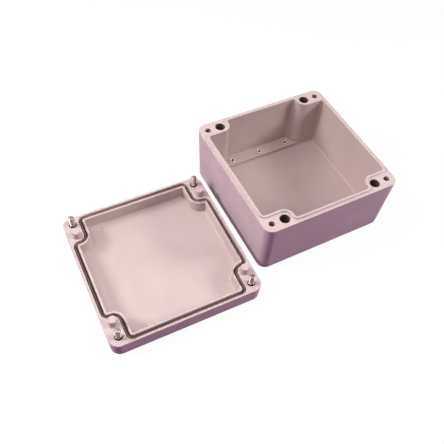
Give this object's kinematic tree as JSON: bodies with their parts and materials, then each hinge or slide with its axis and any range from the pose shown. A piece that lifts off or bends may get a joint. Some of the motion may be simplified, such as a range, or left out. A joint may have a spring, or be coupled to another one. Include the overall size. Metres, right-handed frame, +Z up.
{
  "type": "polyester enclosure box",
  "caption": "Moulded polyester junction enclosure, shown open: deep base with corner fixing bores and floor strips, and a shallow lid with seal groove and captive screws laid beside it.",
  "frame": {"origin": "middle of the base's flat back face, which stands on the ground", "axes": "+Z up, out of the base's open mouth; +X across the base, away from the lid; +Y across the base from its front floor strip to its back one"},
  "size_m": [0.3318, 0.1861, 0.0722],
  "materials": {
    "polyester": "matt moulded glass-fibre polyester, pale pinkish grey",
    "rubber": "dark brown-black moulded rubber",
    "seal_rubber": "grey-brown moulded sealing rubber",
    "stainless": "bright turned stainless steel",
    "brass": "plain turned brass"
  },
  "bodies": {
    "base": {"base_shell": "polyester", "boss_insert_front_left": "brass", "boss_insert_front_right": "brass", "boss_insert_back_left": "brass", "boss_insert_back_right": "brass", "strip_insert_front_left": "brass", "strip_insert_front_middle": "brass", "strip_insert_front_right": "brass", "strip_insert_back_left": "brass", "strip_insert_back_middle": "brass", "strip_insert_back_right": "brass"},
    "lid": {"lid_shell": "polyester", "lid_gasket": "seal_rubber"},
    "ring_front_left": {"screw_ring_front_left": "rubber"},
    "ring_front_right": {"screw_ring_front_right": "rubber"},
    "ring_back_left": {"screw_ring_back_left": "rubber"},
    "ring_back_right": {"screw_ring_back_right": "rubber"},
    "screw_front_left": {"lid_screw_front_left": "stainless"},
    "screw_front_right": {"lid_screw_front_right": "stainless"},
    "screw_back_left": {"lid_screw_back_left": "stainless"},
    "screw_back_right": {"lid_screw_back_right": "stainless"}
  },
  "joints": [
    {"name": "lid_lift", "type": "slide", "parent": "base", "child": "lid", "axis": [0, 0, 1], "range_m": [0, 0.1]},
    {"name": "screw_rise_front_left", "type": "slide", "parent": "lid", "child": "ring_front_left", "axis": [0, 0, 1], "range_m": [0, 0.0024]},
    {"name": "screw_rise_front_right", "type": "slide", "parent": "lid", "child": "ring_front_right", "axis": [0, 0, 1], "range_m": [0, 0.0024]},
    {"name": "screw_rise_back_left", "type": "slide", "parent": "lid", "child": "ring_back_left", "axis": [0, 0, 1], "range_m": [0, 0.0024]},
    {"name": "screw_rise_back_right", "type": "slide", "parent": "lid", "child": "ring_back_right", "axis": [0, 0, 1], "range_m": [0, 0.0024]},
    {"name": "screw_turn_front_left", "type": "hinge", "parent": "ring_front_left", "child": "screw_front_left", "pos_m": [-0.24183, -0.09344, 0.02], "axis": [0, 0, 1], "continuous": true},
    {"name": "screw_turn_front_right", "type": "hinge", "parent": "ring_front_right", "child": "screw_front_right", "pos_m": [-0.10186, -0.09613, 0.02], "axis": [0, 0, 1], "continuous": true},
    {"name": "screw_turn_back_left", "type": "hinge", "parent": "ring_back_left", "child": "screw_back_left", "pos_m": [-0.23914, 0.04653, 0.02], "axis": [0, 0, 1], "continuous": true},
    {"name": "screw_turn_back_right", "type": "hinge", "parent": "ring_back_right", "child": "screw_back_right", "pos_m": [-0.09917, 0.04384, 0.02], "axis": [0, 0, 1], "continuous": true}
  ]
}
